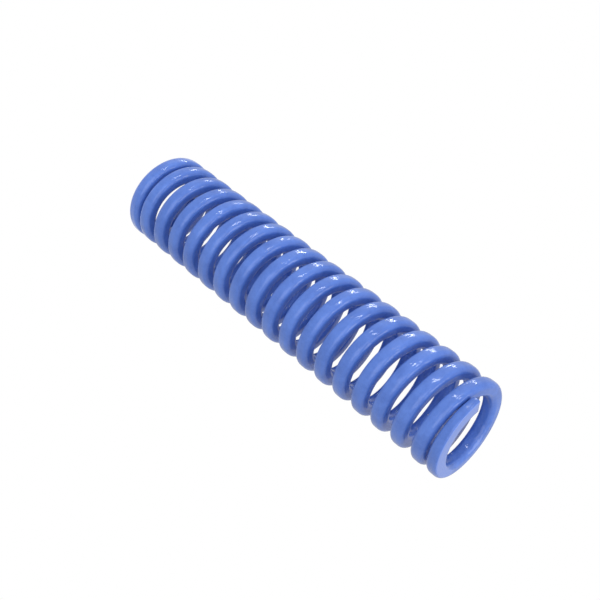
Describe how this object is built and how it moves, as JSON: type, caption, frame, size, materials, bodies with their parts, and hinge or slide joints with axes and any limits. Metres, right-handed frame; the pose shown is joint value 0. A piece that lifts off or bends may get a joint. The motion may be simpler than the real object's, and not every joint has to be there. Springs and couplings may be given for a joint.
{
  "type": "die spring",
  "caption": "Blue coated helical compression spring, rounded square wire wound left-hand, both ends closed and ground flat.",
  "frame": {"origin": "middle of the lower ground end face", "axes": "+Z along the spring's axis, up from the lower ground end; +X towards the wire's lower tip"},
  "size_m": [0.0198, 0.0198, 0.089],
  "materials": {
    "blue_coated_steel": "gloss blue powder coat over spring steel"
  },
  "bodies": {
    "root": {"coil_spring": "blue_coated_steel"}
  },
  "joints": []
}
